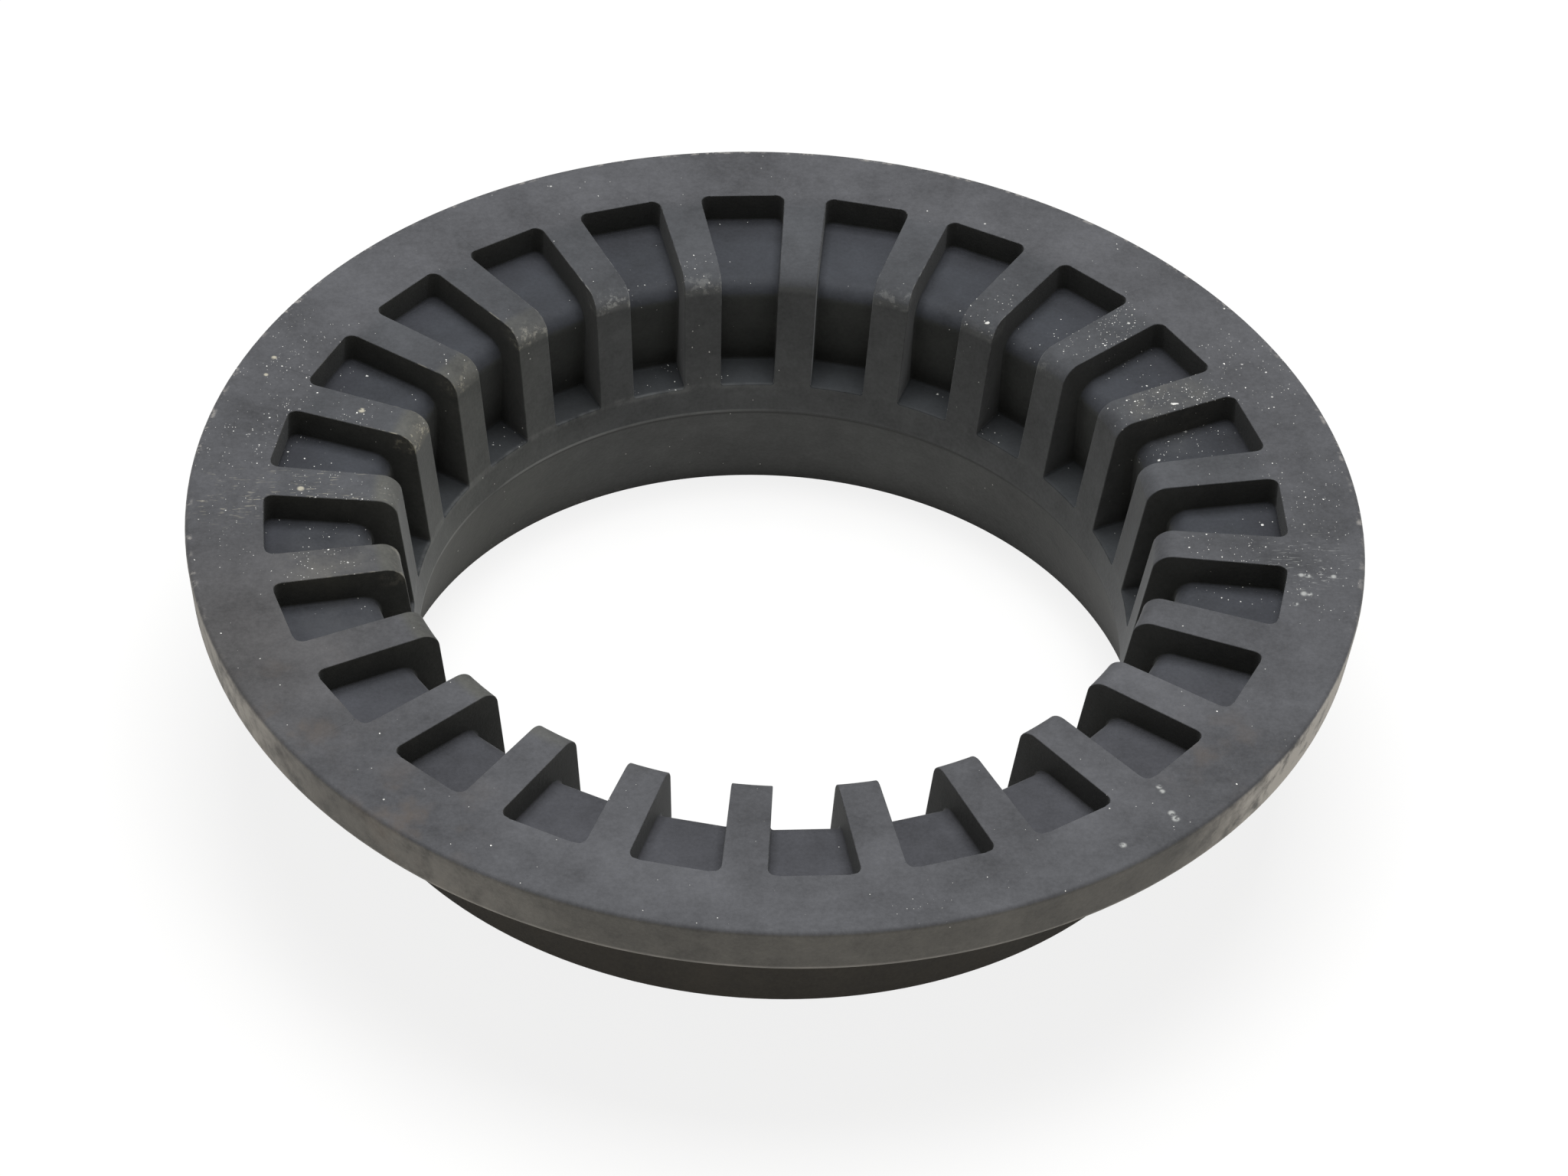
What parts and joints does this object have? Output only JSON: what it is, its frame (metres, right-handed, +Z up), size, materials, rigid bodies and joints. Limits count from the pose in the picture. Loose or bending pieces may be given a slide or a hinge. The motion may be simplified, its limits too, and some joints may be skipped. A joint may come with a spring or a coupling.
{
  "type": "coil spring insulator",
  "caption": "Moulded rubber ring that seats a vehicle coil spring: a flat flange over a collar, with ribs and pockets round the inside of its mouth.",
  "frame": {"origin": "centre of the foot ring, on the plane that the part stands on", "axes": "+Z up along the ring's axis, from the foot of the collar to the top of the flange; +X and +Y are equal, and +X runs along the middle of a pocket"},
  "size_m": [0.1498, 0.1498, 0.0358],
  "materials": {
    "moulded_rubber": "matte"
  },
  "bodies": {
    "root": {"spring_insulator": "moulded_rubber"}
  },
  "joints": []
}
